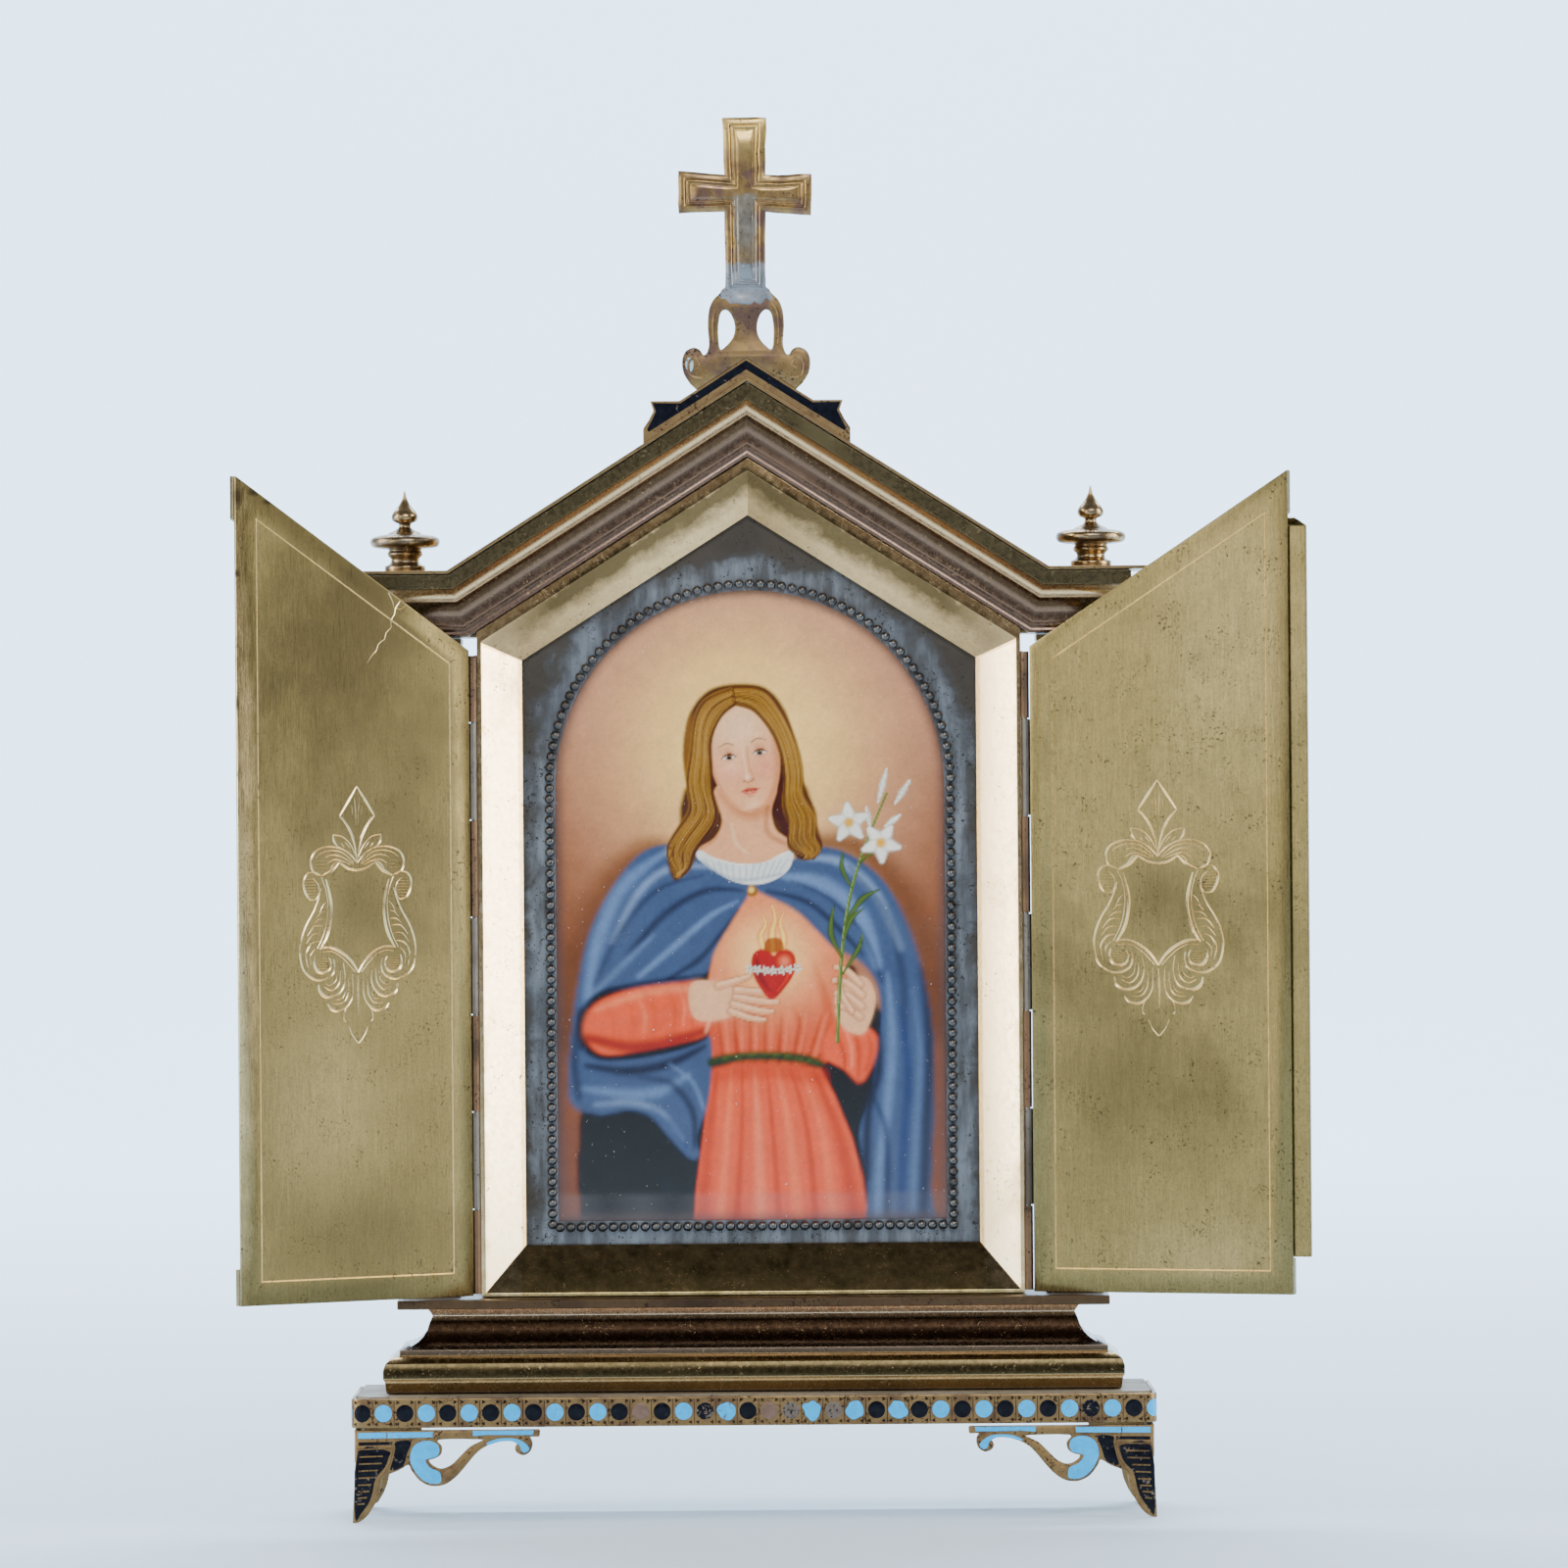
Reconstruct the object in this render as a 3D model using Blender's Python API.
"""Portable oratory: a gabled brass shrine on a stepped, enamelled base, with two hinged doors.

Metres, +Z up, the front faces -Y. Every piece is drawn about the shrine's own middle plane, with the rim of
its front at y = 0. Last of all the whole is moved so that the origin is on the ground, under the middle of
its box with the doors as they stand.
"""

import math

import bmesh
import bpy
from mathutils import Vector

# Fits
GAP = 0.0003
DOOR_TO_RIM = 0.0004
DOOR_TO_LEDGE = 0.0007
DOOR_TO_CORNICE = 0.0049
DOOR_TO_DOOR = 0.0005
ASTRAGAL_TO_STILE = 0.0004

# Base, from the ground up
FOOT_HEIGHT = 0.0225
FOOT_PLATE = 0.0013
FOOT_SPLAY = 0.0011
SLAB_HEIGHT = 0.0075
SLAB_CORNER = 0.0030
BAND_HEIGHT = 0.0071
BAND_THICKNESS = 0.0010
BAND_CORNER = 0.0025
BAND_REACH = 0.0193
BASE_HEIGHT = 0.0198
BASE_SHOULDER = 0.0120
BASE_WALL = 0.0025
BASE_BEHIND_BACK = 0.0009
LEDGE_THICKNESS = 0.0022
LEDGE_OVERHANG = 0.0085

# Case
CASE_HALF_WIDTH = 0.0660
CASE_DEPTH = 0.0240
CASE_WALL = 0.0008
BACK_THICKNESS = 0.0008
ROOF_PITCH = math.radians(32.4)
WING_CLEAR_HEIGHT = 0.1611

# Splayed front frame
FRAME_DEPTH = 0.0089
FRAME_SHEET = 0.0010
FRAME_RIM = 0.0008
FRAME_TOP_FILLET = 0.0026
SPLAY_WIDTH = 0.0106
SPLAY_BOTTOM = 0.0124
SPLAY_TOP = 0.0058

# Picture, its mount and its beads
MOUNT_THICKNESS = 0.0012
ARCH_MARGIN_SIDE = 0.0078
ARCH_MARGIN_LOW = 0.0057
ARCH_MARGIN_TOP = 0.0306
ARCH_STEPS = 24
BEAD_RADIUS = 0.00115
BEAD_PITCH = 0.0026
BEAD_NECK = 0.0005
PLAQUE_THICKNESS = 0.0030
PLAQUE_LAP = 0.0022

# Cornice and roof
CORNICE_HEIGHT = 0.0150
CORNICE_BACK = 0.0050
CORNICE_BEND_OUT = 0.0025
WING_REACH = 0.0210
ROOF_SHEET = 0.0008
ROOF_SIDE_LAP = 0.0048
ROOF_FRONT_LAP = 0.0003

# Crest, cross and finials
CREST_HEIGHT = 0.0047
CREST_THICKNESS = 0.0020
CREST_SET_BACK = 0.0006
CREST_HALF_WIDTH = 0.0252
CREST_EAR_WIDTH = 0.0089
CROSS_HEIGHT = 0.0581
CROSS_BAR_HEIGHT = 0.0397
CROSS_HALF_SPAN = 0.0163
CROSS_ARM = 0.0102
CROSS_THICKNESS = 0.0020
CROSS_PANEL_RAISE = 0.0004
CROSS_PANEL_INSET = 0.0021
LYRE_HEIGHT = 0.0160
LYRE_HALF_WIDTH = 0.0092
BULB_RADIUS = 0.0039
FINIAL_HEIGHT = 0.0197
FINIAL_RADIUS = 0.0085
FINIAL_FROM_CASE = 0.0180

# Colonnettes
COLUMN_FROM_CASE = 0.0125
COLUMN_RADIUS = 0.0024
ABACUS_HALF_WIDTH = 0.0083
COLUMN_FOOT_HALF_WIDTH = 0.0070

# Doors and hinges
LEFT_OPEN = math.radians(145.6)
RIGHT_OPEN = math.radians(160.1)
AXIS_OUT = 0.0013
AXIS_FORWARD = 0.0010
KNUCKLE_RADIUS = 0.0010
KNUCKLE_BORE = 0.0006
PIN_RADIUS = 0.0005
KNUCKLES = 7
KNUCKLE_SHARE = 0.1522
KNUCKLE_SHIFT = 0.0137
LEAF_THICKNESS = 0.0005
LEAF_WIDTH = 0.0050
DOOR_SHEET = 0.0008
RAIL_WIDTH = 0.0088
STILE_WIDTH = 0.0075
FRAME_RAISE = 0.0016
ASTRAGAL_HALF_WIDTH = 0.0042
ASTRAGAL_BEAD = 0.0009
BORDER_INSET = 0.0057
ENGRAVED_WIDTH = 0.0006
ENGRAVED_DEPTH = 0.0003
CARTOUCHE_MIDDLE = 0.5835

# Units of the drawn outlines
FOOT_UNITS = 22.5
BASE_UNITS = 19.8
CORNICE_UNITS = 15.0

# Levels and places that follow
SLAB_BOTTOM = FOOT_HEIGHT + GAP
SLAB_TOP = SLAB_BOTTOM + SLAB_HEIGHT
BASE_BOTTOM = SLAB_TOP + GAP
BASE_TOP = BASE_BOTTOM + BASE_HEIGHT
LEDGE_TOP = BASE_TOP + GAP + LEDGE_THICKNESS
CASE_BOTTOM = LEDGE_TOP + GAP
WING_BOTTOM = LEDGE_TOP + WING_CLEAR_HEIGHT
PITCH = math.tan(ROOF_PITCH)
STEEP = 1 / math.cos(ROOF_PITCH)
BEND_X = CASE_HALF_WIDTH + CORNICE_BEND_OUT
EAVES_APEX = WING_BOTTOM + BEND_X * PITCH
WING_SIDE = CASE_HALF_WIDTH + WING_REACH
ROOF_TOP = CORNICE_HEIGHT + GAP + ROOF_SHEET
BACK_REAR = CASE_DEPTH + GAP + BACK_THICKNESS
BASE_REAR = BACK_REAR + BASE_BEHIND_BACK
BASE_HALF_WIDTH = CASE_HALF_WIDTH + BASE_SHOULDER
BAND_HALF_WIDTH = BASE_HALF_WIDTH + BAND_REACH
OPENING_HALF_WIDTH = CASE_HALF_WIDTH - SPLAY_WIDTH
OPENING_LOW = LEDGE_TOP + SPLAY_BOTTOM
OPENING_HIGH = WING_BOTTOM - SPLAY_TOP
ARCH_HALF_WIDTH = OPENING_HALF_WIDTH - ARCH_MARGIN_SIDE
ARCH_LOW = OPENING_LOW + ARCH_MARGIN_LOW
ARCH_SPRING = OPENING_HIGH - ARCH_MARGIN_TOP
AXIS_X = CASE_HALF_WIDTH + AXIS_OUT
DOOR_WIDTH = AXIS_X - DOOR_TO_DOOR / 2
DOOR_BOTTOM = LEDGE_TOP + DOOR_TO_LEDGE
SHEET_INSIDE = DOOR_TO_RIM - AXIS_FORWARD
SHEET_OUTSIDE = SHEET_INSIDE + DOOR_SHEET
RAISED_FROM = SHEET_OUTSIDE + GAP
BAND_REAR = BASE_REAR + GAP


def finish(name, colour, roughness, metallic):
    """A material with one colour, as a Principled BSDF."""
    material = bpy.data.materials.new(name)
    material.use_nodes = True
    shader = material.node_tree.nodes["Principled BSDF"]
    shader.inputs["Base Color"].default_value = (*colour, 1)
    shader.inputs["Roughness"].default_value = roughness
    shader.inputs["Metallic"].default_value = metallic
    return material


def add_mesh(name, points, faces, material, parent=None, smooth=False):
    """One named object from points and faces, with its faces turned outwards."""
    mesh = bpy.data.meshes.new(name)
    mesh.from_pydata([tuple(p) for p in points], [], faces)
    shape = bmesh.new()
    shape.from_mesh(mesh)
    bmesh.ops.recalc_face_normals(shape, faces=shape.faces)
    shape.to_mesh(mesh)
    shape.free()
    if smooth:
        mesh.shade_smooth()
        mesh.set_sharp_from_angle(angle=math.radians(40))
    if material:
        mesh.materials.append(material)
    piece = bpy.data.objects.new(name, mesh)
    bpy.context.collection.objects.link(piece)
    piece.parent = parent
    return piece


def loft(name, rings, material, parent=None, smooth=False, closed=False):
    """Joins rings of as many points each by quads, and caps the two ends unless the path is closed."""
    count = len(rings[0])
    points = [p for ring in rings for p in ring]
    faces = []
    for i in range(len(rings) if closed else len(rings) - 1):
        here = i * count
        there = (i + 1) % len(rings) * count
        for j in range(count):
            k = (j + 1) % count
            faces.append((here + j, here + k, there + k, there + j))
    if not closed:
        faces.append(tuple(range(count)))
        faces.append(tuple(range(len(points) - count, len(points))))
    return add_mesh(name, points, faces, material, parent, smooth)


def prism(name, outline, front, back, material, parent=None):
    """An outline in X and Z, made thick from y = front to y = back."""
    rings = [[(x, y, z) for x, z in outline] for y in (front, back)]
    return loft(name, rings, material, parent)


def block(name, low, high, material, parent=None):
    """A plain rectangular block between two corners."""
    outline = [(low[0], low[2]), (high[0], low[2]), (high[0], high[2]), (low[0], high[2])]
    return prism(name, outline, low[1], high[1], material, parent)


def turned(name, profile, centre, sides, material, parent=None):
    """A round piece from (radius, height) pairs, listed upwards; a radius of 0 closes it in a point."""
    points = []
    faces = []
    rows = []
    for radius, height in profile:
        if radius == 0:
            rows.append([len(points)])
            points.append((centre[0], centre[1], centre[2] + height))
            continue
        rows.append(list(range(len(points), len(points) + sides)))
        for i in range(sides):
            turn = 2 * math.pi * i / sides
            across = centre[0] + radius * math.cos(turn)
            deep = centre[1] + radius * math.sin(turn)
            points.append((across, deep, centre[2] + height))
    for lower, upper in zip(rows, rows[1:]):
        for i in range(sides):
            k = (i + 1) % sides
            if len(upper) == 1:
                faces.append((lower[i], lower[k], upper[0]))
            else:
                faces.append((lower[i], lower[k], upper[k], upper[i]))
    faces.append(tuple(rows[0]))
    if len(rows[-1]) > 1:
        faces.append(tuple(rows[-1]))
    return add_mesh(name, points, faces, material, parent, smooth=True)


def boolean(piece, other, operation):
    """Joins another shape to a piece, or cuts it away. The other shape is only a guide."""
    other.hide_render = True
    other.display_type = "WIRE"
    other.parent = piece.parent
    modifier = piece.modifiers.new(other.name, "BOOLEAN")
    modifier.operation = operation
    modifier.solver = "EXACT"
    modifier.object = other
    return modifier


def merged(name, shapes):
    """One guide made of several shapes that don't touch each other."""
    points = []
    faces = []
    for shape in shapes:
        start = len(points)
        points.extend(tuple(v.co) for v in shape.data.vertices)
        faces.extend(tuple(start + v for v in face.vertices) for face in shape.data.polygons)
        bpy.data.objects.remove(shape)
    return add_mesh(name, points, faces, None)


def arc(centre, radius, start, end, steps):
    """Points along a round stretch, with angles in degrees."""
    found = []
    for i in range(steps + 1):
        turn = math.radians(start + (end - start) * i / steps)
        found.append((centre[0] + radius * math.cos(turn), centre[1] + radius * math.sin(turn)))
    return found


def smooth_line(knots, steps):
    """A smooth line through its knots, with so many steps between one and the next."""
    found = []
    for i in range(len(knots) - 1):
        a = Vector(knots[max(i - 1, 0)])
        b = Vector(knots[i])
        c = Vector(knots[i + 1])
        d = Vector(knots[min(i + 2, len(knots) - 1)])
        for j in range(steps):
            t = j / steps
            bend = (2 * a - 5 * b + 4 * c - d) * t * t + (3 * b - a - 3 * c + d) * t * t * t
            found.append(tuple((2 * b + (c - a) * t + bend) / 2))
    found.append(tuple(knots[-1]))
    return found


def scaled(outline, unit):
    """An outline drawn in its own units, in metres."""
    return [(a * unit, b * unit) for a, b in outline]


def mirrored(half):
    """A half outline on the +X side, from its top to its bottom, closed by its reflection."""
    other = [(-x, z) for x, z in reversed(half) if x > 1e-6]
    return half + other


def gable(half_width, bottom, corner, apex):
    """The five corners of a gabled outline."""
    foot = [(-half_width, bottom), (half_width, bottom)]
    return foot + [(half_width, corner), (0, apex), (-half_width, corner)]


def eaves(x):
    """Height of the cornice's lower edge over the front."""
    return WING_BOTTOM + (BEND_X - abs(x)) * PITCH


def arch_outline(half_width, bottom, spring, steps):
    """A round-headed outline, from its lower left corner."""
    return [(-half_width, bottom), (half_width, bottom)] + arc((0, spring), half_width, 0, 180, steps)


def build_plinth(materials):
    """The grey slab with cut corners, and the enamelled band bent round its front and sides."""
    inside = BAND_HALF_WIDTH - BAND_THICKNESS - GAP
    front = -BAND_REACH + BAND_THICKNESS + GAP
    plan = [
        (-inside, BAND_REAR),
        (-inside, front + SLAB_CORNER),
        (-inside + SLAB_CORNER, front),
        (inside - SLAB_CORNER, front),
        (inside, front + SLAB_CORNER),
        (inside, BAND_REAR),
    ]
    rings = [[(x, y, z) for x, y in plan] for z in (SLAB_BOTTOM, SLAB_TOP)]
    loft("plinth_slab", rings, materials["slab"])

    sections = []
    corner_x = BAND_HALF_WIDTH - BAND_CORNER
    corner_y = -BAND_REACH + BAND_CORNER
    inner_radius = BAND_CORNER - BAND_THICKNESS
    outer = [(-BAND_HALF_WIDTH, BAND_REAR)]
    inner = [(-BAND_HALF_WIDTH + BAND_THICKNESS, BAND_REAR)]
    outer += arc((-corner_x, corner_y), BAND_CORNER, 180, 270, 4)
    inner += arc((-corner_x, corner_y), inner_radius, 180, 270, 4)
    outer += arc((corner_x, corner_y), BAND_CORNER, 270, 360, 4)
    inner += arc((corner_x, corner_y), inner_radius, 270, 360, 4)
    outer.append((BAND_HALF_WIDTH, BAND_REAR))
    inner.append((BAND_HALF_WIDTH - BAND_THICKNESS, BAND_REAR))
    top = SLAB_BOTTOM + BAND_HEIGHT
    for (ox, oy), (ix, iy) in zip(outer, inner):
        sections.append([(ox, oy, SLAB_BOTTOM), (ox, oy, top), (ix, iy, top), (ix, iy, SLAB_BOTTOM)])
    loft("enamel_band", sections, materials["brass"])


def base_profile():
    """The base moulding's outer line, as (projection, height) from its foot up."""
    cove = arc((8.2, 17.8), 7.4, 262, 190, 5)
    torus = [(11.1, 0), (11.5, 2.8), (11.9, 3.4), (11.9, 5.5), (11.3, 7.2), (9.8, 8.4)]
    line = torus + [(8.0, 8.8), (8.0, 10.3)] + cove + [(0.2, 18.1), (1.3, BASE_UNITS)]
    return scaled(line, BASE_HEIGHT / BASE_UNITS)


def build_base(materials):
    """The hollow base moulding, mitred at its corners and flat behind, with the ledge on it."""
    outline = base_profile()
    wall = [(-BASE_WALL, BASE_HEIGHT), (-BASE_WALL, 0)]
    corners = ((-1, 1), (-1, -1), (1, -1), (1, 1))
    rings = []
    for across, deep in corners:
        ring = []
        for out, height in outline + wall:
            x = across * (BASE_HALF_WIDTH + out)
            y = -out if deep < 0 else BASE_REAR + min(out, 0)
            ring.append((x, y, BASE_BOTTOM + height))
        rings.append(ring)
    loft("base_moulding", rings, materials["brass"], closed=True)
    half = BASE_HALF_WIDTH + LEDGE_OVERHANG
    low = (-half, -LEDGE_OVERHANG, BASE_TOP + GAP)
    block("base_ledge", low, (half, BASE_REAR, LEDGE_TOP), materials["brass"])


def claw_line():
    """The foot's inner edge, from its tip on the ground up to the scroll: (inward, height) pairs."""
    sweep = smooth_line([(1.3, 0), (4.0, 1.4), (6.0, 5.6), (6.6, 9.8)], 2)
    return [(0, 0)] + sweep + [(7.6, 10.4), (13.4, 12.4)]


def scroll_foot():
    """The front bracket's outline and its window."""
    lower = [(13.4, 12.4), (15.8, 9.8), (19.8, 8.5), (23.6, 9.8)]
    tail = smooth_line(lower + [(28.3, 15.2), (31.5, 17.9), (35.5, 18.7)], 2)
    bulb = arc((40.5, 17.1), 2.0, 150, 360, 5)
    outline = claw_line()[:-1] + tail + bulb
    outline += [(41.9, 20.3), (44.4, 20.3), (44.4, FOOT_UNITS), (0, FOOT_UNITS)]
    window = smooth_line([(30.2, 19.3), (27.2, 16.6), (24.3, 13.8), (21.1, 12.6)], 2)
    window += [(19.6, 14.0), (21.3, 16.6), (20.8, 19.3)]
    return outline, window


def side_foot():
    """The short bracket of a foot's other face."""
    return claw_line() + [(14.0, 19.6), (20.0, 20.0), (20.0, FOOT_UNITS), (0, FOOT_UNITS)]


def build_foot(name, across, deep, material):
    """A flat bracket bent round a corner: across is -1 or 1, deep is -1 at the front and 1 behind."""
    corner_x = BAND_HALF_WIDTH - BAND_THICKNESS - GAP
    corner_y = BAND_REACH - GAP if deep < 0 else BAND_REAR - GAP

    def place(inward_x, inward_y, height):
        lean = FOOT_SPLAY * (1 - height / FOOT_HEIGHT)
        x = across * (corner_x - inward_x + lean)
        y = deep * (corner_y - inward_y + lean)
        return (x, y, height)

    unit = FOOT_HEIGHT / FOOT_UNITS
    outline, window = scroll_foot()
    if deep > 0:
        outline = side_foot()
    outline = scaled(outline, unit)
    window = scaled(window, unit)
    rings = [[place(u, thick, z) for u, z in outline] for thick in (0, FOOT_PLATE)]
    foot = loft(name, rings, material)
    if deep < 0:
        rings = [[place(u, thick, z) for u, z in window] for thick in (-FOOT_PLATE, 2 * FOOT_PLATE)]
        boolean(foot, loft(name + "_window", rings, None), "DIFFERENCE")
    inset = FOOT_PLATE / 20
    side = [(max(u, inset), z) for u, z in scaled(side_foot(), unit)]
    rings = [[place(thick, u, z) for u, z in side] for thick in (inset, FOOT_PLATE)]
    boolean(foot, loft(name + "_side", rings, None), "UNION")
    return foot


def build_case(materials):
    """The gabled case: its walls, its back, and the splayed frame of folded sheet in front."""
    gap_to_eaves = GAP * STEEP
    corner = eaves(CASE_HALF_WIDTH) - gap_to_eaves
    apex = EAVES_APEX - gap_to_eaves
    outer = gable(CASE_HALF_WIDTH, CASE_BOTTOM, corner, apex)

    def inset(wall, top_wall):
        half = CASE_HALF_WIDTH - wall
        peak = apex - top_wall * STEEP
        return gable(half, CASE_BOTTOM + wall, peak - half * PITCH, peak)

    opening_apex = OPENING_HIGH + OPENING_HALF_WIDTH * PITCH
    opening = gable(OPENING_HALF_WIDTH, OPENING_LOW, OPENING_HIGH, opening_apex)
    rim = inset(FRAME_RIM, FRAME_TOP_FILLET)
    lining = inset(FRAME_SHEET, FRAME_TOP_FILLET)
    splay_end = FRAME_DEPTH - FRAME_SHEET
    loops = (
        (outer, 0),
        (rim, 0),
        (opening, splay_end),
        (opening, FRAME_DEPTH),
        (lining, FRAME_SHEET * 1.3),
        (lining, FRAME_DEPTH),
        (outer, FRAME_DEPTH),
    )
    rings = [[(x, y, z) for x, z in outline] for outline, y in loops]
    loft("front_frame", rings, materials["polished"], closed=True)

    start = FRAME_DEPTH + GAP
    walls = inset(CASE_WALL, CASE_WALL)
    loops = ((outer, start), (walls, start), (walls, CASE_DEPTH), (outer, CASE_DEPTH))
    rings = [[(x, y, z) for x, z in outline] for outline, y in loops]
    loft("case_walls", rings, materials["brass"], closed=True)

    wing = WING_SIDE - GAP
    bend = BEND_X + CORNICE_HEIGHT * math.tan(ROOF_PITCH / 2)
    wing_top = WING_BOTTOM + CORNICE_HEIGHT
    back = mirrored(
        [
            (0, EAVES_APEX + CORNICE_HEIGHT * STEEP),
            (bend, wing_top),
            (wing, wing_top),
            (wing, WING_BOTTOM),
            (CASE_HALF_WIDTH, WING_BOTTOM),
            (CASE_HALF_WIDTH, CASE_BOTTOM),
        ]
    )
    prism("back_panel", back, CASE_DEPTH + GAP, BACK_REAR, materials["brass"])


def build_picture(materials):
    """The grey mount with its arched opening, the string of beads round it, and the painted plaque."""
    front = FRAME_DEPTH + GAP
    back = front + MOUNT_THICKNESS
    room = CASE_WALL + GAP
    half = CASE_HALF_WIDTH - room
    peak = EAVES_APEX - (GAP + room) * STEEP
    bottom = CASE_BOTTOM + room
    outline = gable(half, bottom, peak - half * PITCH, peak)
    plate = prism("picture_mount", outline, front, back, materials["mount"])
    hole = arch_outline(ARCH_HALF_WIDTH, ARCH_LOW, ARCH_SPRING, ARCH_STEPS)
    cutter = prism("mount_opening", hole, front - MOUNT_THICKNESS, back + MOUNT_THICKNESS, None)
    boolean(plate, cutter, "DIFFERENCE")

    half = ARCH_HALF_WIDTH + PLAQUE_LAP
    outline = arch_outline(half, ARCH_LOW - PLAQUE_LAP, ARCH_SPRING, ARCH_STEPS)
    prism("porcelain_plaque", outline, back + GAP, back + GAP + PLAQUE_THICKNESS, materials["porcelain"])

    build_beads(front - GAP, materials["beads"])


def build_beads(back, material):
    """Beads side by side round the arched opening, on one closed string."""
    radius = ARCH_HALF_WIDTH + BEAD_RADIUS + GAP
    bottom = ARCH_LOW - BEAD_RADIUS - GAP
    path = [(radius, bottom)] + arc((0, ARCH_SPRING), radius, 0, 180, 2 * ARCH_STEPS) + [(-radius, bottom)]
    lengths = [0.0]
    for (ax, az), (bx, bz) in zip(path, path[1:] + path[:1]):
        lengths.append(lengths[-1] + math.hypot(bx - ax, bz - az))
    count = round(lengths[-1] / BEAD_PITCH)
    step = lengths[-1] / (2 * count)

    def along(distance):
        distance %= lengths[-1]
        i = max(k for k in range(len(path)) if lengths[k] <= distance)
        ax, az = path[i]
        bx, bz = path[(i + 1) % len(path)]
        share = (distance - lengths[i]) / (lengths[i + 1] - lengths[i])
        return Vector((ax + (bx - ax) * share, az + (bz - az) * share))

    rings = []
    for i in range(2 * count):
        here = along(i * step)
        run = (along((i + 0.5) * step) - along((i - 0.5) * step)).normalized()
        side = Vector((run[1], -run[0]))
        wide = BEAD_RADIUS if i % 2 else BEAD_NECK
        high = 1.5 * wide
        left = here - side * wide
        right = here + side * wide
        rings.append([(left[0], back, left[1]), (right[0], back, right[1]), (here[0], back - high, here[1])])
    loft("bead_border", rings, material, closed=True)


def cornice_profile():
    """The cornice's face, as (projection, height) from its lower edge up."""
    cove = smooth_line([(1.3, 2.8), (1.2, 5.0), (2.0, 7.2), (3.7, 8.6)], 2)
    hollow = smooth_line([(3.7, 9.2), (4.0, 10.2), (5.6, 11.4)], 2)
    beads = [(0.5, 0), (0.9, 0.6), (0.7, 1.2), (1.2, 1.9), (1.1, 2.6)]
    line = beads + cove + hollow + [(6.2, 11.7), (6.2, CORNICE_UNITS)]
    return scaled(line, CORNICE_HEIGHT / CORNICE_UNITS)


def cornice_rings(section):
    """A (projection, height) section carried from the back of one wing round the front to the other's."""
    bend_shift = math.tan(ROOF_PITCH / 2)
    right = []
    for station in ("rear", "corner", "bend"):
        ring = []
        for out, height in section:
            if station == "rear":
                point = (WING_SIDE + out, CASE_DEPTH, WING_BOTTOM + height)
            elif station == "corner":
                point = (WING_SIDE + out, -out, WING_BOTTOM + height)
            else:
                point = (BEND_X + height * bend_shift, -out, WING_BOTTOM + height)
            ring.append(point)
        right.append(ring)
    apex = [(0, -out, EAVES_APEX + height * STEEP) for out, height in section]
    left = [[(-x, y, z) for x, y, z in ring] for ring in right]
    return left + [apex] + right[::-1]


def build_cornice(materials):
    """The cornice, its wings' soffits and the folded roof sheet on it."""
    section = cornice_profile() + [(-CORNICE_BACK, CORNICE_HEIGHT), (-CORNICE_BACK, 0)]
    loft("cornice", cornice_rings(section), materials["brass"])

    low_x = CASE_HALF_WIDTH + GAP
    high_x = WING_SIDE - CORNICE_BACK - GAP
    for name, side in (("left", -1), ("right", 1)):
        ends = sorted((side * low_x, side * high_x))
        low = (ends[0], CORNICE_BACK + GAP, WING_BOTTOM)
        high = (ends[1], CASE_DEPTH, WING_BOTTOM + ROOF_SHEET)
        block(f"wing_soffit_{name}", low, high, materials["brass"])

    edge = WING_SIDE + cornice_profile()[-1][0]
    front = -cornice_profile()[-1][0] - ROOF_FRONT_LAP
    rear = BACK_REAR + GAP

    def surface(height):
        bend = BEND_X + height * math.tan(ROOF_PITCH / 2)
        end = edge + ROOF_SIDE_LAP
        return [
            (-end, WING_BOTTOM + height),
            (-bend, WING_BOTTOM + height),
            (0, EAVES_APEX + height * STEEP),
            (bend, WING_BOTTOM + height),
            (end, WING_BOTTOM + height),
        ]

    outline = surface(CORNICE_HEIGHT + GAP) + surface(ROOF_TOP)[::-1]
    prism("roof_sheet", outline, front, rear, materials["brass"])


def ridge(x, lift):
    """Height over the roof sheet's top, near the ridge."""
    return EAVES_APEX + ROOF_TOP * STEEP + lift - abs(x) * PITCH


def build_crest(materials):
    """The eared chevron plate that stands on the ridge."""
    foot = GAP * STEEP
    end = CREST_HALF_WIDTH
    inner = end - CREST_EAR_WIDTH
    ear_top = ridge(inner, CREST_HEIGHT)
    ear_height = ear_top - ridge(end, foot)
    half = [
        (0, ridge(0, CREST_HEIGHT)),
        (inner, ear_top),
        (end - CREST_EAR_WIDTH * 0.20, ear_top),
        (end - CREST_EAR_WIDTH * 0.29, ear_top - ear_height * 0.24),
        (end - CREST_EAR_WIDTH * 0.16, ear_top - ear_height * 0.46),
        (end, ear_top - ear_height * 0.67),
        (end, ridge(end, foot)),
    ]
    outline = mirrored(half + [(0, ridge(0, foot))])
    front = -cornice_profile()[-1][0] + CREST_SET_BACK
    prism("ridge_crest", outline, front, front + CREST_THICKNESS, materials["black"])
    return front


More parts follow.
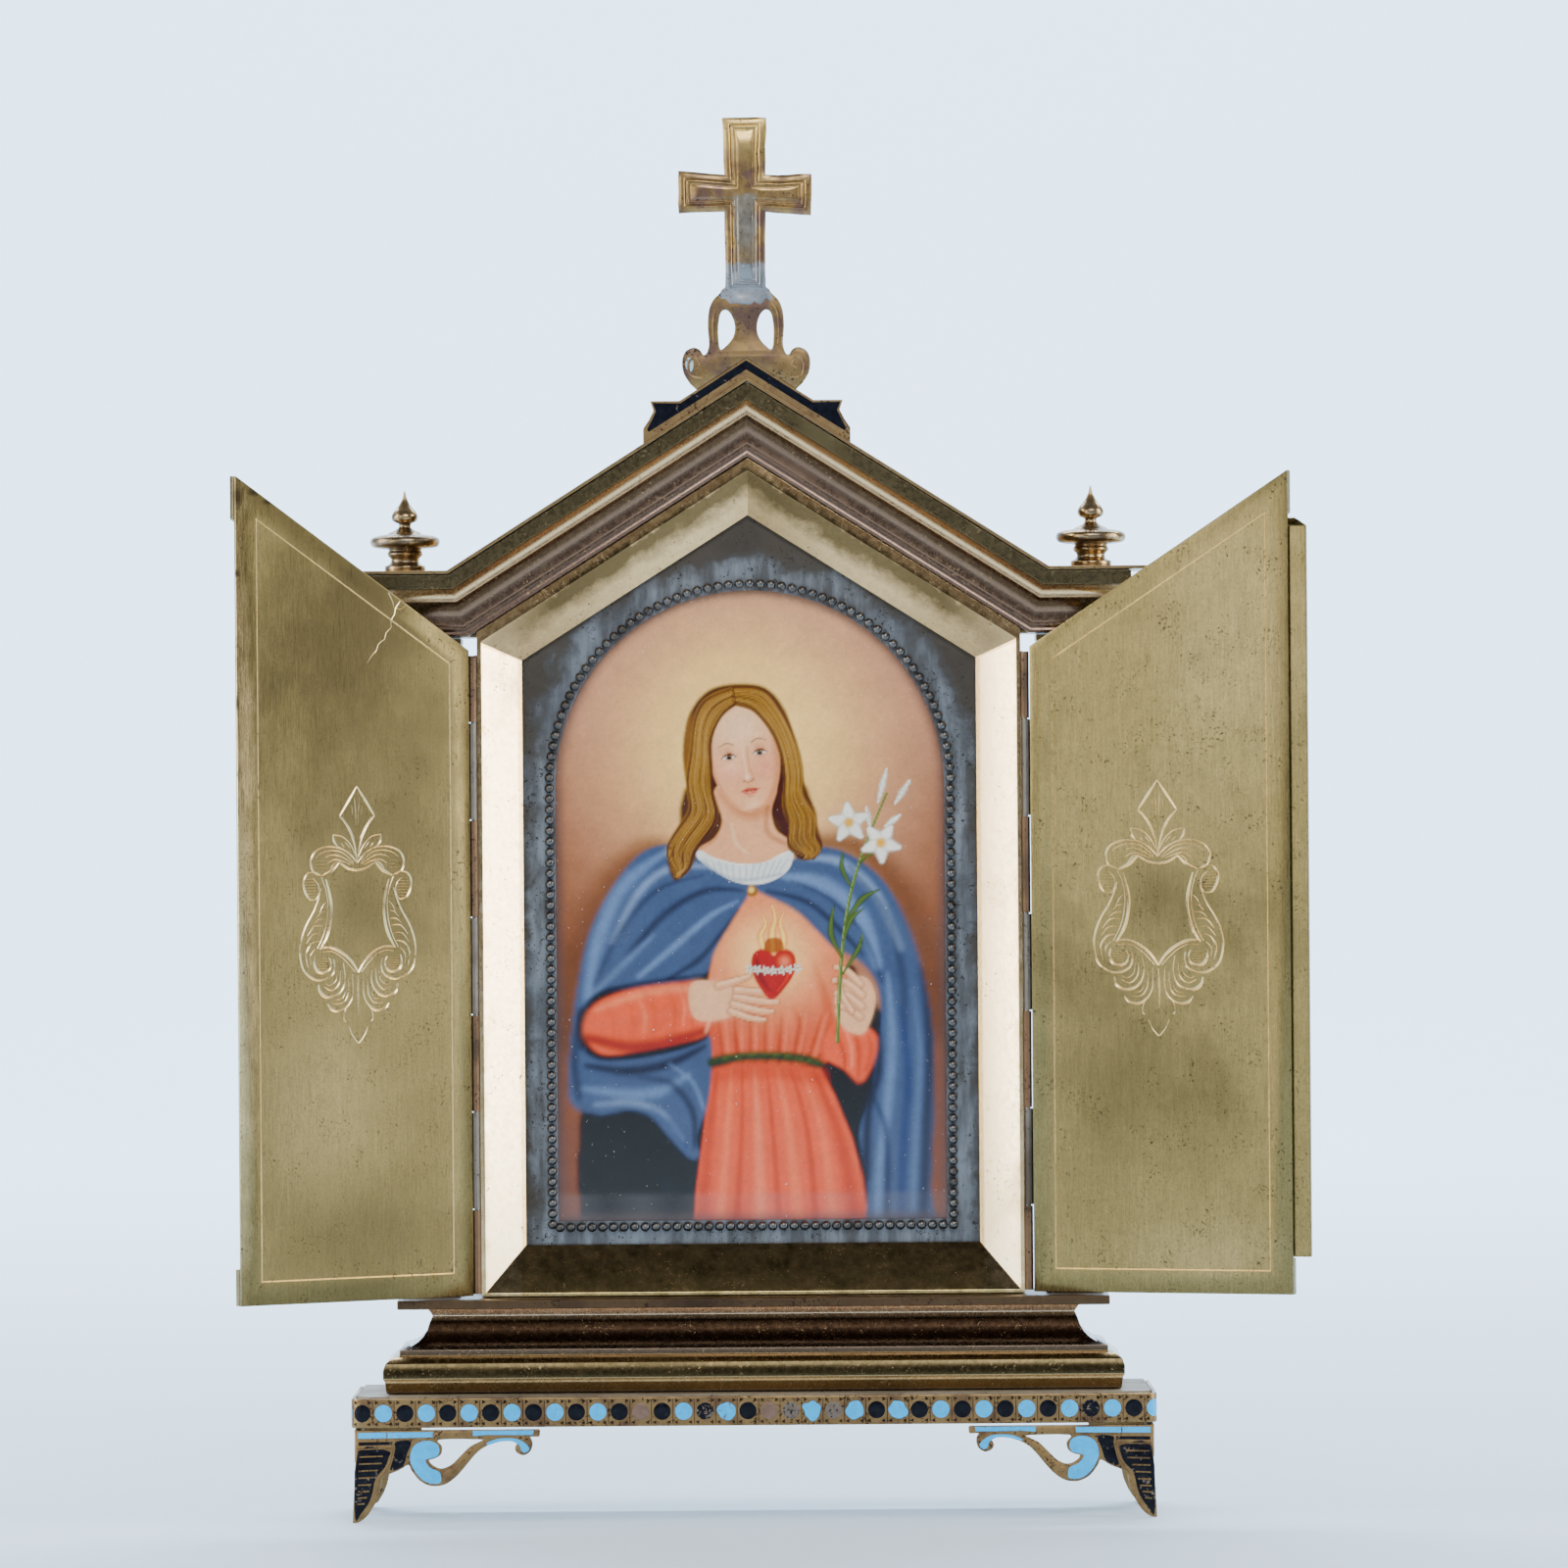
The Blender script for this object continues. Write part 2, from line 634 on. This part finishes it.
def build_cross(front, materials):
    """The cross with its open lyre foot, cast in one, riding the crest."""
    seat = CREST_HEIGHT + GAP * STEEP
    foot = ridge(0, seat)
    top = foot + CROSS_HEIGHT
    arm = CROSS_ARM / 2
    bar = foot + CROSS_BAR_HEIGHT
    neck = foot + LYRE_HEIGHT
    bulb_x = LYRE_HALF_WIDTH + BULB_RADIUS * 0.82
    bulb_z = foot - BULB_RADIUS * 0.62
    shoulder = (LYRE_HALF_WIDTH * 0.84, neck - LYRE_HEIGHT * 0.14)
    side = (LYRE_HALF_WIDTH, neck - LYRE_HEIGHT * 0.38)
    lyre = smooth_line([(arm * 0.92, neck), shoulder, side, (LYRE_HALF_WIDTH, foot + LYRE_HEIGHT * 0.19)], 2)
    bulb = arc((bulb_x, bulb_z), BULB_RADIUS, 112, -100, 9)
    bow = CROSS_ARM * 0.04
    half = [(0, top), (arm, top - bow), (arm, bar + arm)]
    half += [(CROSS_HALF_SPAN - bow / 2, bar + arm - bow), (CROSS_HALF_SPAN, bar)]
    half += [(CROSS_HALF_SPAN - bow / 2, bar - arm + bow), (arm - bow / 2, bar - arm)]
    half += lyre + bulb
    heel = LYRE_HALF_WIDTH + BULB_RADIUS / 4
    half += [(heel, ridge(heel, seat)), (0, foot)]
    back = front + CROSS_THICKNESS
    cross = prism("cross", mirrored(half), front, back, materials["cross"])

    cutters = []
    for side in (-1, 1):
        oval = []
        for x, z in arc((0, 0), 1, 0, 324, 9):
            across = LYRE_HALF_WIDTH * (0.55 + 0.22 * x)
            oval.append((side * across, foot + LYRE_HEIGHT * (0.39 + 0.306 * z)))
        cutters.append(prism("oval", oval, front - CROSS_THICKNESS, back + CROSS_THICKNESS, None))
    boolean(cross, merged("lyre_openings", cutters), "DIFFERENCE")

    slim = arm - CROSS_PANEL_INSET
    span = CROSS_HALF_SPAN - CROSS_PANEL_INSET
    panel = mirrored(
        [
            (0, top - CROSS_PANEL_INSET),
            (slim, top - CROSS_PANEL_INSET),
            (slim, bar + slim),
            (span, bar + slim),
            (span, bar - slim),
            (slim, bar - slim),
            (slim, neck + arm * 0.8),
            (0, neck + arm * 0.8),
        ]
    )
    raised = prism("cross_panel", panel, front - CROSS_PANEL_RAISE, front + CROSS_THICKNESS / 2, None)
    boolean(cross, raised, "UNION")


def finial_profile():
    """A turned finial, as (radius, height) from its foot up, in shares of its own radius and height."""
    shares = [
        (0.57, 0),
        (0.58, 0.055),
        (0.50, 0.075),
        (0.39, 0.130),
        (0.40, 0.180),
        (0.49, 0.205),
        (0.50, 0.250),
        (0.62, 0.275),
        (1.00, 0.365),
        (0.86, 0.425),
        (0.46, 0.465),
        (0.44, 0.495),
        (0.20, 0.570),
        (0.19, 0.590),
        (0.26, 0.610),
        (0.27, 0.635),
        (0.36, 0.655),
        (0.385, 0.690),
        (0.25, 0.785),
        (0.12, 0.890),
        (0, 1),
    ]
    return [(r * FINIAL_RADIUS, h * FINIAL_HEIGHT) for r, h in shares]


def build_colonnette(name, side, material):
    """A slim shaft between a square foot on the ledge and a square-topped capital under the wing."""
    sides = 12
    bottom = LEDGE_TOP + GAP
    top = WING_BOTTOM - GAP
    rows = (
        (COLUMN_FOOT_HALF_WIDTH, bottom, True),
        (COLUMN_FOOT_HALF_WIDTH, bottom + 0.0030, True),
        (COLUMN_RADIUS + 0.0022, bottom + 0.0034, False),
        (COLUMN_RADIUS + 0.0018, bottom + 0.0052, False),
        (COLUMN_RADIUS, bottom + 0.0064, False),
        (COLUMN_RADIUS, top - 0.0130, False),
        (COLUMN_RADIUS + 0.0012, top - 0.0120, False),
        (COLUMN_RADIUS + 0.0012, top - 0.0108, False),
        (COLUMN_RADIUS + 0.0006, top - 0.0100, False),
        (ABACUS_HALF_WIDTH - 0.0018, top - 0.0032, True),
        (ABACUS_HALF_WIDTH, top - 0.0014, True),
        (ABACUS_HALF_WIDTH, top, True),
    )
    rings = []
    for size, height, square in rows:
        ring = []
        for i in range(sides):
            turn = math.radians(15) + 2 * math.pi * i / sides
            reach = size
            if square:
                reach = size / max(abs(math.cos(turn)), abs(math.sin(turn)))
            x = side * (CASE_HALF_WIDTH + COLUMN_FROM_CASE) + reach * math.cos(turn)
            ring.append((x, CASE_DEPTH / 2 + reach * math.sin(turn), height))
        rings.append(ring)
    loft(name, rings, material, smooth=True)


def hinge_levels():
    """Where one knuckle ends and the next begins, bottom to top, fitted to the door's hinge side."""
    low = DOOR_BOTTOM + GAP
    high = door_top(0) - GAP
    span = high - low
    middle = (low + high) / 2 + span * KNUCKLE_SHIFT
    first = middle - span * KNUCKLE_SHARE * (KNUCKLES - 2) / 2
    inner = [first + span * KNUCKLE_SHARE * i for i in range(KNUCKLES - 1)]
    return [low] + inner + [high]


def hinge_leaf(name, place, knuckles, material, parent=None):
    """A leaf with its share of the knuckles. place turns (along the leaf, off it, height) into a point."""
    levels = hinge_levels()
    inside = KNUCKLE_RADIUS - LEAF_THICKNESS
    start = KNUCKLE_RADIUS + GAP

    def bar(title, low, high):
        plan = ((low[0], low[1]), (high[0], low[1]), (high[0], high[1]), (low[0], high[1]))
        return loft(title, [[place(a, b, z) for a, b in plan] for z in (low[2], high[2])], material, parent)

    leaf = bar(name, (start, inside, levels[0]), (LEAF_WIDTH, KNUCKLE_RADIUS, levels[-1]))
    trim = LEAF_THICKNESS / 8
    bridges = []
    tubes = []
    sides = 8
    for i in knuckles:
        low = levels[i] + GAP / 2
        high = levels[i + 1] - GAP / 2
        reach = (start + LEAF_THICKNESS, KNUCKLE_RADIUS - trim, high - trim)
        bridges.append(bar("bridge", (0, KNUCKLE_BORE + trim, low + trim), reach))
        rings = []
        turns = [math.pi / sides + 2 * math.pi * k / sides for k in range(sides)]
        for radius, ends in ((KNUCKLE_RADIUS, (low, high)), (KNUCKLE_BORE, (high, low))):
            for height in ends:
                rings.append([place(radius * math.cos(t), radius * math.sin(t), height) for t in turns])
        tubes.append(loft("tube", rings, material, parent, closed=True))
    boolean(leaf, merged(name + "_bridges", bridges), "UNION")
    boolean(leaf, merged(name + "_tubes", tubes), "UNION")
    return leaf


def door_top(u):
    """Height of a door's sloping top, at a distance from its hinge axis."""
    return eaves(AXIS_X - u) - DOOR_TO_CORNICE


def stroke(points, closed=False):
    """The two sides of an engraved line: a narrow band round a run of points."""
    count = len(points)
    left = []
    right = []
    for i, point in enumerate(points):
        here = Vector(point)
        before = Vector(points[i - 1]) if i or closed else here
        after = Vector(points[(i + 1) % count]) if i < count - 1 or closed else here
        run_in = (here - before).normalized() if (here - before).length else (after - here).normalized()
        run_out = (after - here).normalized() if (after - here).length else run_in
        normal = Vector((-(run_in + run_out)[1], (run_in + run_out)[0])).normalized()
        spread = ENGRAVED_WIDTH / 2 / max(0.5, normal.dot(Vector((-run_in[1], run_in[0]))))
        taper = 1 if closed or 0 < i < count - 1 else 0.4
        left.append(here + normal * spread * taper)
        right.append(here - normal * spread * taper)
    return left, right


def cartouche_lines():
    """The engraved cartouche's lines about its middle: closed ones, then one side's open ones."""
    panel = smooth_line([(0, 0.0106), (0.0032, 0.0112), (0.0060, 0.0125)], 2)[:-1]
    panel += smooth_line([(0.0060, 0.0125), (0.0086, 0.0104), (0.0111, 0.0091)], 2)[:-1]
    panel += smooth_line([(0.0111, 0.0091), (0.0084, 0.0040), (0.0084, -0.0030), (0.0101, -0.0089)], 2)[:-1]
    panel += smooth_line([(0.0101, -0.0089), (0.0052, -0.0094), (0, -0.0139)], 2)
    diamond = [(0, 0.0310), (0.0048, 0.0239), (0, 0.0142)]
    closed = [mirrored(diamond), mirrored(panel)]
    scroll_top = [(0.0040, 0.0150), (0.0088, 0.0155), (0.0128, 0.0132), (0.0134, 0.0104)]
    scroll_side = [(0.0156, 0.0098), (0.0132, 0.0052), (0.0122, 0), (0.0140, -0.0048)]
    volute = [(0.0152, -0.0066), (0.0158, -0.0108), (0.0122, -0.0134), (0.0100, -0.0118), (0.0114, -0.0098)]
    frond_long = [(0.0146, -0.0150), (0.0104, -0.0182), (0.0062, -0.0158)]
    frond_mid = [(0.0112, -0.0204), (0.0072, -0.0214), (0.0034, -0.0176)]
    frond_low = [(0.0064, -0.0236), (0.0030, -0.0222), (0.0012, -0.0184)]
    leaf = [(0.0066, 0.0190), (0.0034, 0.0178), (0.0014, 0.0136)]
    pendant = [(0.0018, -0.0250), (0.0014, -0.0290), (0.0003, -0.0312)]
    return closed, [scroll_top, scroll_side, volute, frond_long, frond_mid, frond_low, leaf, pendant]


def engraving(side, hinge):
    """The cutter for one door's inner face: the border line and the cartouche."""
    inset = BORDER_INSET
    low = DOOR_BOTTOM + inset
    near = KNUCKLE_RADIUS + GAP + inset
    far = DOOR_WIDTH - inset
    drop = inset * STEEP
    border = [(near, low), (far, low), (far, door_top(far) - drop), (near, door_top(near) - drop)]
    middle = (AXIS_X / 2, LEDGE_TOP + WING_CLEAR_HEIGHT * CARTOUCHE_MIDDLE)
    closed, open_lines = cartouche_lines()
    lines = [(border, True)]
    lines += [([(middle[0] + u, middle[1] + v) for u, v in line], True) for line in closed]
    for line in open_lines:
        fine = smooth_line(line, 2)
        for flip in (-1, 1):
            lines.append(([(middle[0] + flip * u, middle[1] + v) for u, v in fine], False))
    front = SHEET_INSIDE - ENGRAVED_DEPTH
    back = SHEET_INSIDE + ENGRAVED_DEPTH
    shapes = []
    for line, is_closed in lines:
        left, right = stroke(line, is_closed)
        if is_closed:
            loops = ((left, front), (right, front), (right, back), (left, back))
            rings = [[(side * u, -n, z) for u, z in points] for points, n in loops]
            shapes.append(loft("line", rings, None, closed=True))
        else:
            outline = left + right[::-1]
            rings = [[(side * u, -n, z) for u, z in outline] for n in (front, back)]
            shapes.append(loft("line", rings, None))
    cutter = merged("engraving", shapes)
    cutter.parent = hinge
    return cutter


def build_door(name, axis_side, opening, materials):
    """A door as it hangs: sheet, raised frame outside, and its hinge leaf. axis_side is -1 on the left."""
    side = -axis_side
    hinge = bpy.data.objects.new(f"{name}_hinge", None)
    bpy.context.collection.objects.link(hinge)
    hinge.location = (axis_side * AXIS_X, -AXIS_FORWARD, 0)
    hinge.rotation_euler = (0, 0, axis_side * opening)

    def plate(title, outline, inner, outer, material):
        rings = [[(side * u, -n, z) for u, z in outline] for n in (inner, outer)]
        return loft(title, rings, material, hinge)

    start = KNUCKLE_RADIUS + GAP
    far = DOOR_WIDTH
    outline = [(start, DOOR_BOTTOM), (far, DOOR_BOTTOM), (far, door_top(far)), (start, door_top(start))]
    sheet = plate(f"{name}_sheet", outline, SHEET_INSIDE, SHEET_OUTSIDE, materials["door"])
    boolean(sheet, engraving(side, hinge), "DIFFERENCE")

    near = LEAF_WIDTH + GAP
    set_back = far - ASTRAGAL_HALF_WIDTH - ASTRAGAL_TO_STILE
    rail = DOOR_BOTTOM + RAIL_WIDTH
    drop = RAIL_WIDTH * STEEP
    outline = [
        (near, DOOR_BOTTOM),
        (far, DOOR_BOTTOM),
        (far, rail),
        (set_back, rail),
        (set_back, door_top(set_back) - drop),
        (far, door_top(far) - drop),
        (far, door_top(far)),
        (near, door_top(near)),
    ]
    raised_to = RAISED_FROM + FRAME_RAISE
    frame = plate(f"{name}_frame", outline, RAISED_FROM, raised_to, materials["door"])
    inner = near + STILE_WIDTH
    outer = set_back - STILE_WIDTH
    hole = [(inner, rail), (outer, rail), (outer, door_top(outer) - drop), (inner, door_top(inner) - drop)]
    cutter = plate(f"{name}_field", hole, RAISED_FROM - FRAME_RAISE, raised_to + FRAME_RAISE, None)
    boolean(frame, cutter, "DIFFERENCE")

    def place(along, off, height):
        return (side * along, -off, height)

    hinge_leaf(f"{name}_hinge_leaf", place, range(1, KNUCKLES, 2), materials["steel"], hinge)
    return hinge, side


def build_astragal(hinge, side, material):
    """The moulded strip on the right door's edge that laps the left door when both are shut."""
    half = ASTRAGAL_HALF_WIDTH
    flat = RAISED_FROM + FRAME_RAISE
    bead = ASTRAGAL_BEAD
    section = [
        (-half, RAISED_FROM),
        (half, RAISED_FROM),
        (half, flat - bead / 2),
        (half - bead, flat),
        (bead * 1.5, flat),
        (bead, flat + bead),
        (-bead, flat + bead),
        (-bead * 1.5, flat),
        (-half + bead, flat),
        (-half, flat - bead / 2),
    ]
    low = DOOR_BOTTOM + RAIL_WIDTH + GAP
    peak = door_top(DOOR_WIDTH) - RAIL_WIDTH * STEEP - GAP * STEEP
    rings = []
    for at_top in (False, True):
        ring = []
        for off, n in section:
            z = peak - abs(off) * PITCH if at_top else low
            ring.append((side * (DOOR_WIDTH + off), -n, z))
        rings.append(ring)
    loft("right_door_astragal", rings, material, hinge)


def build_frame_hinge(name, axis_side, materials):
    """The case's leaf of a hinge, with the odd knuckles, and the pin through them all."""

    def place(along, off, height):
        return (axis_side * (AXIS_X - off), along - AXIS_FORWARD, height)

    hinge_leaf(f"{name}_case_leaf", place, range(0, KNUCKLES, 2), materials["hinge"])
    levels = hinge_levels()
    profile = [(PIN_RADIUS, levels[0] + GAP), (PIN_RADIUS, levels[-1] - GAP)]
    turned(f"{name}_hinge_pin", profile, (axis_side * AXIS_X, -AXIS_FORWARD, 0), 8, materials["steel"])


def stand_on_ground():
    """Moves the whole so that the origin is on the ground under the middle of its box."""
    bpy.context.view_layer.update()
    depsgraph = bpy.context.evaluated_depsgraph_get()
    low = Vector((math.inf,) * 3)
    high = Vector((-math.inf,) * 3)
    for piece in bpy.context.scene.objects:
        if piece.type != "MESH" or piece.hide_render:
            continue
        shaped = piece.evaluated_get(depsgraph)
        for corner in shaped.bound_box:
            point = shaped.matrix_world @ Vector(corner)
            low = Vector(map(min, low, point))
            high = Vector(map(max, high, point))
    middle = (low + high) / 2
    ground = bpy.data.objects.new("ground_middle", None)
    bpy.context.collection.objects.link(ground)
    ground.location = (-middle[0], -middle[1], -low[2])
    for piece in list(bpy.context.scene.objects):
        if piece.parent is None and piece is not ground:
            piece.parent = ground
    print(f"moved by {-middle[0]:.6f} {-middle[1]:.6f} {-low[2]:.6f}")


def build():
    for piece in list(bpy.data.objects):
        bpy.data.objects.remove(piece)
    materials = {
        "brass": finish("aged_brass", (0.36, 0.24, 0.10), 0.35, 1.0),
        "polished": finish("polished_brass", (0.80, 0.58, 0.30), 0.20, 1.0),
        "door": finish("door_brass", (0.50, 0.42, 0.18), 0.35, 1.0),
        "hinge": finish("hinge_brass", (0.25, 0.16, 0.09), 0.45, 1.0),
        "steel": finish("hinge_steel", (0.55, 0.54, 0.50), 0.35, 1.0),
        "mount": finish("grey_mount", (0.16, 0.16, 0.16), 0.45, 1.0),
        "beads": finish("dark_beads", (0.10, 0.09, 0.08), 0.40, 1.0),
        "porcelain": finish("painted_porcelain", (0.60, 0.40, 0.34), 0.12, 0.0),
        "slab": finish("grey_slab", (0.20, 0.18, 0.15), 0.60, 0.6),
        "black": finish("black_enamel", (0.01, 0.012, 0.016), 0.18, 0.0),
        "cross": finish("cast_brass", (0.34, 0.24, 0.12), 0.38, 1.0),
        "feet": finish("enamelled_brass", (0.22, 0.16, 0.10), 0.40, 1.0),
    }
    build_plinth(materials)
    build_base(materials)
    for rank, deep in (("front", -1), ("back", 1)):
        for name, across in (("left", -1), ("right", 1)):
            build_foot(f"foot_{rank}_{name}", across, deep, materials["feet"])
    build_case(materials)
    build_picture(materials)
    build_cornice(materials)
    front = build_crest(materials)
    build_cross(front, materials)
    roof = WING_BOTTOM + ROOF_TOP + GAP
    for name, side in (("left", -1), ("right", 1)):
        place = (side * (CASE_HALF_WIDTH + FINIAL_FROM_CASE), CASE_DEPTH / 2, roof)
        turned(f"finial_{name}", finial_profile(), place, 12, materials["brass"])
        build_colonnette(f"colonnette_{name}", side, materials["brass"])
        build_frame_hinge(name, side, materials)
    build_door("left_door", -1, LEFT_OPEN, materials)
    hinge, side = build_door("right_door", 1, RIGHT_OPEN, materials)
    build_astragal(hinge, side, materials["door"])
    stand_on_ground()


build()
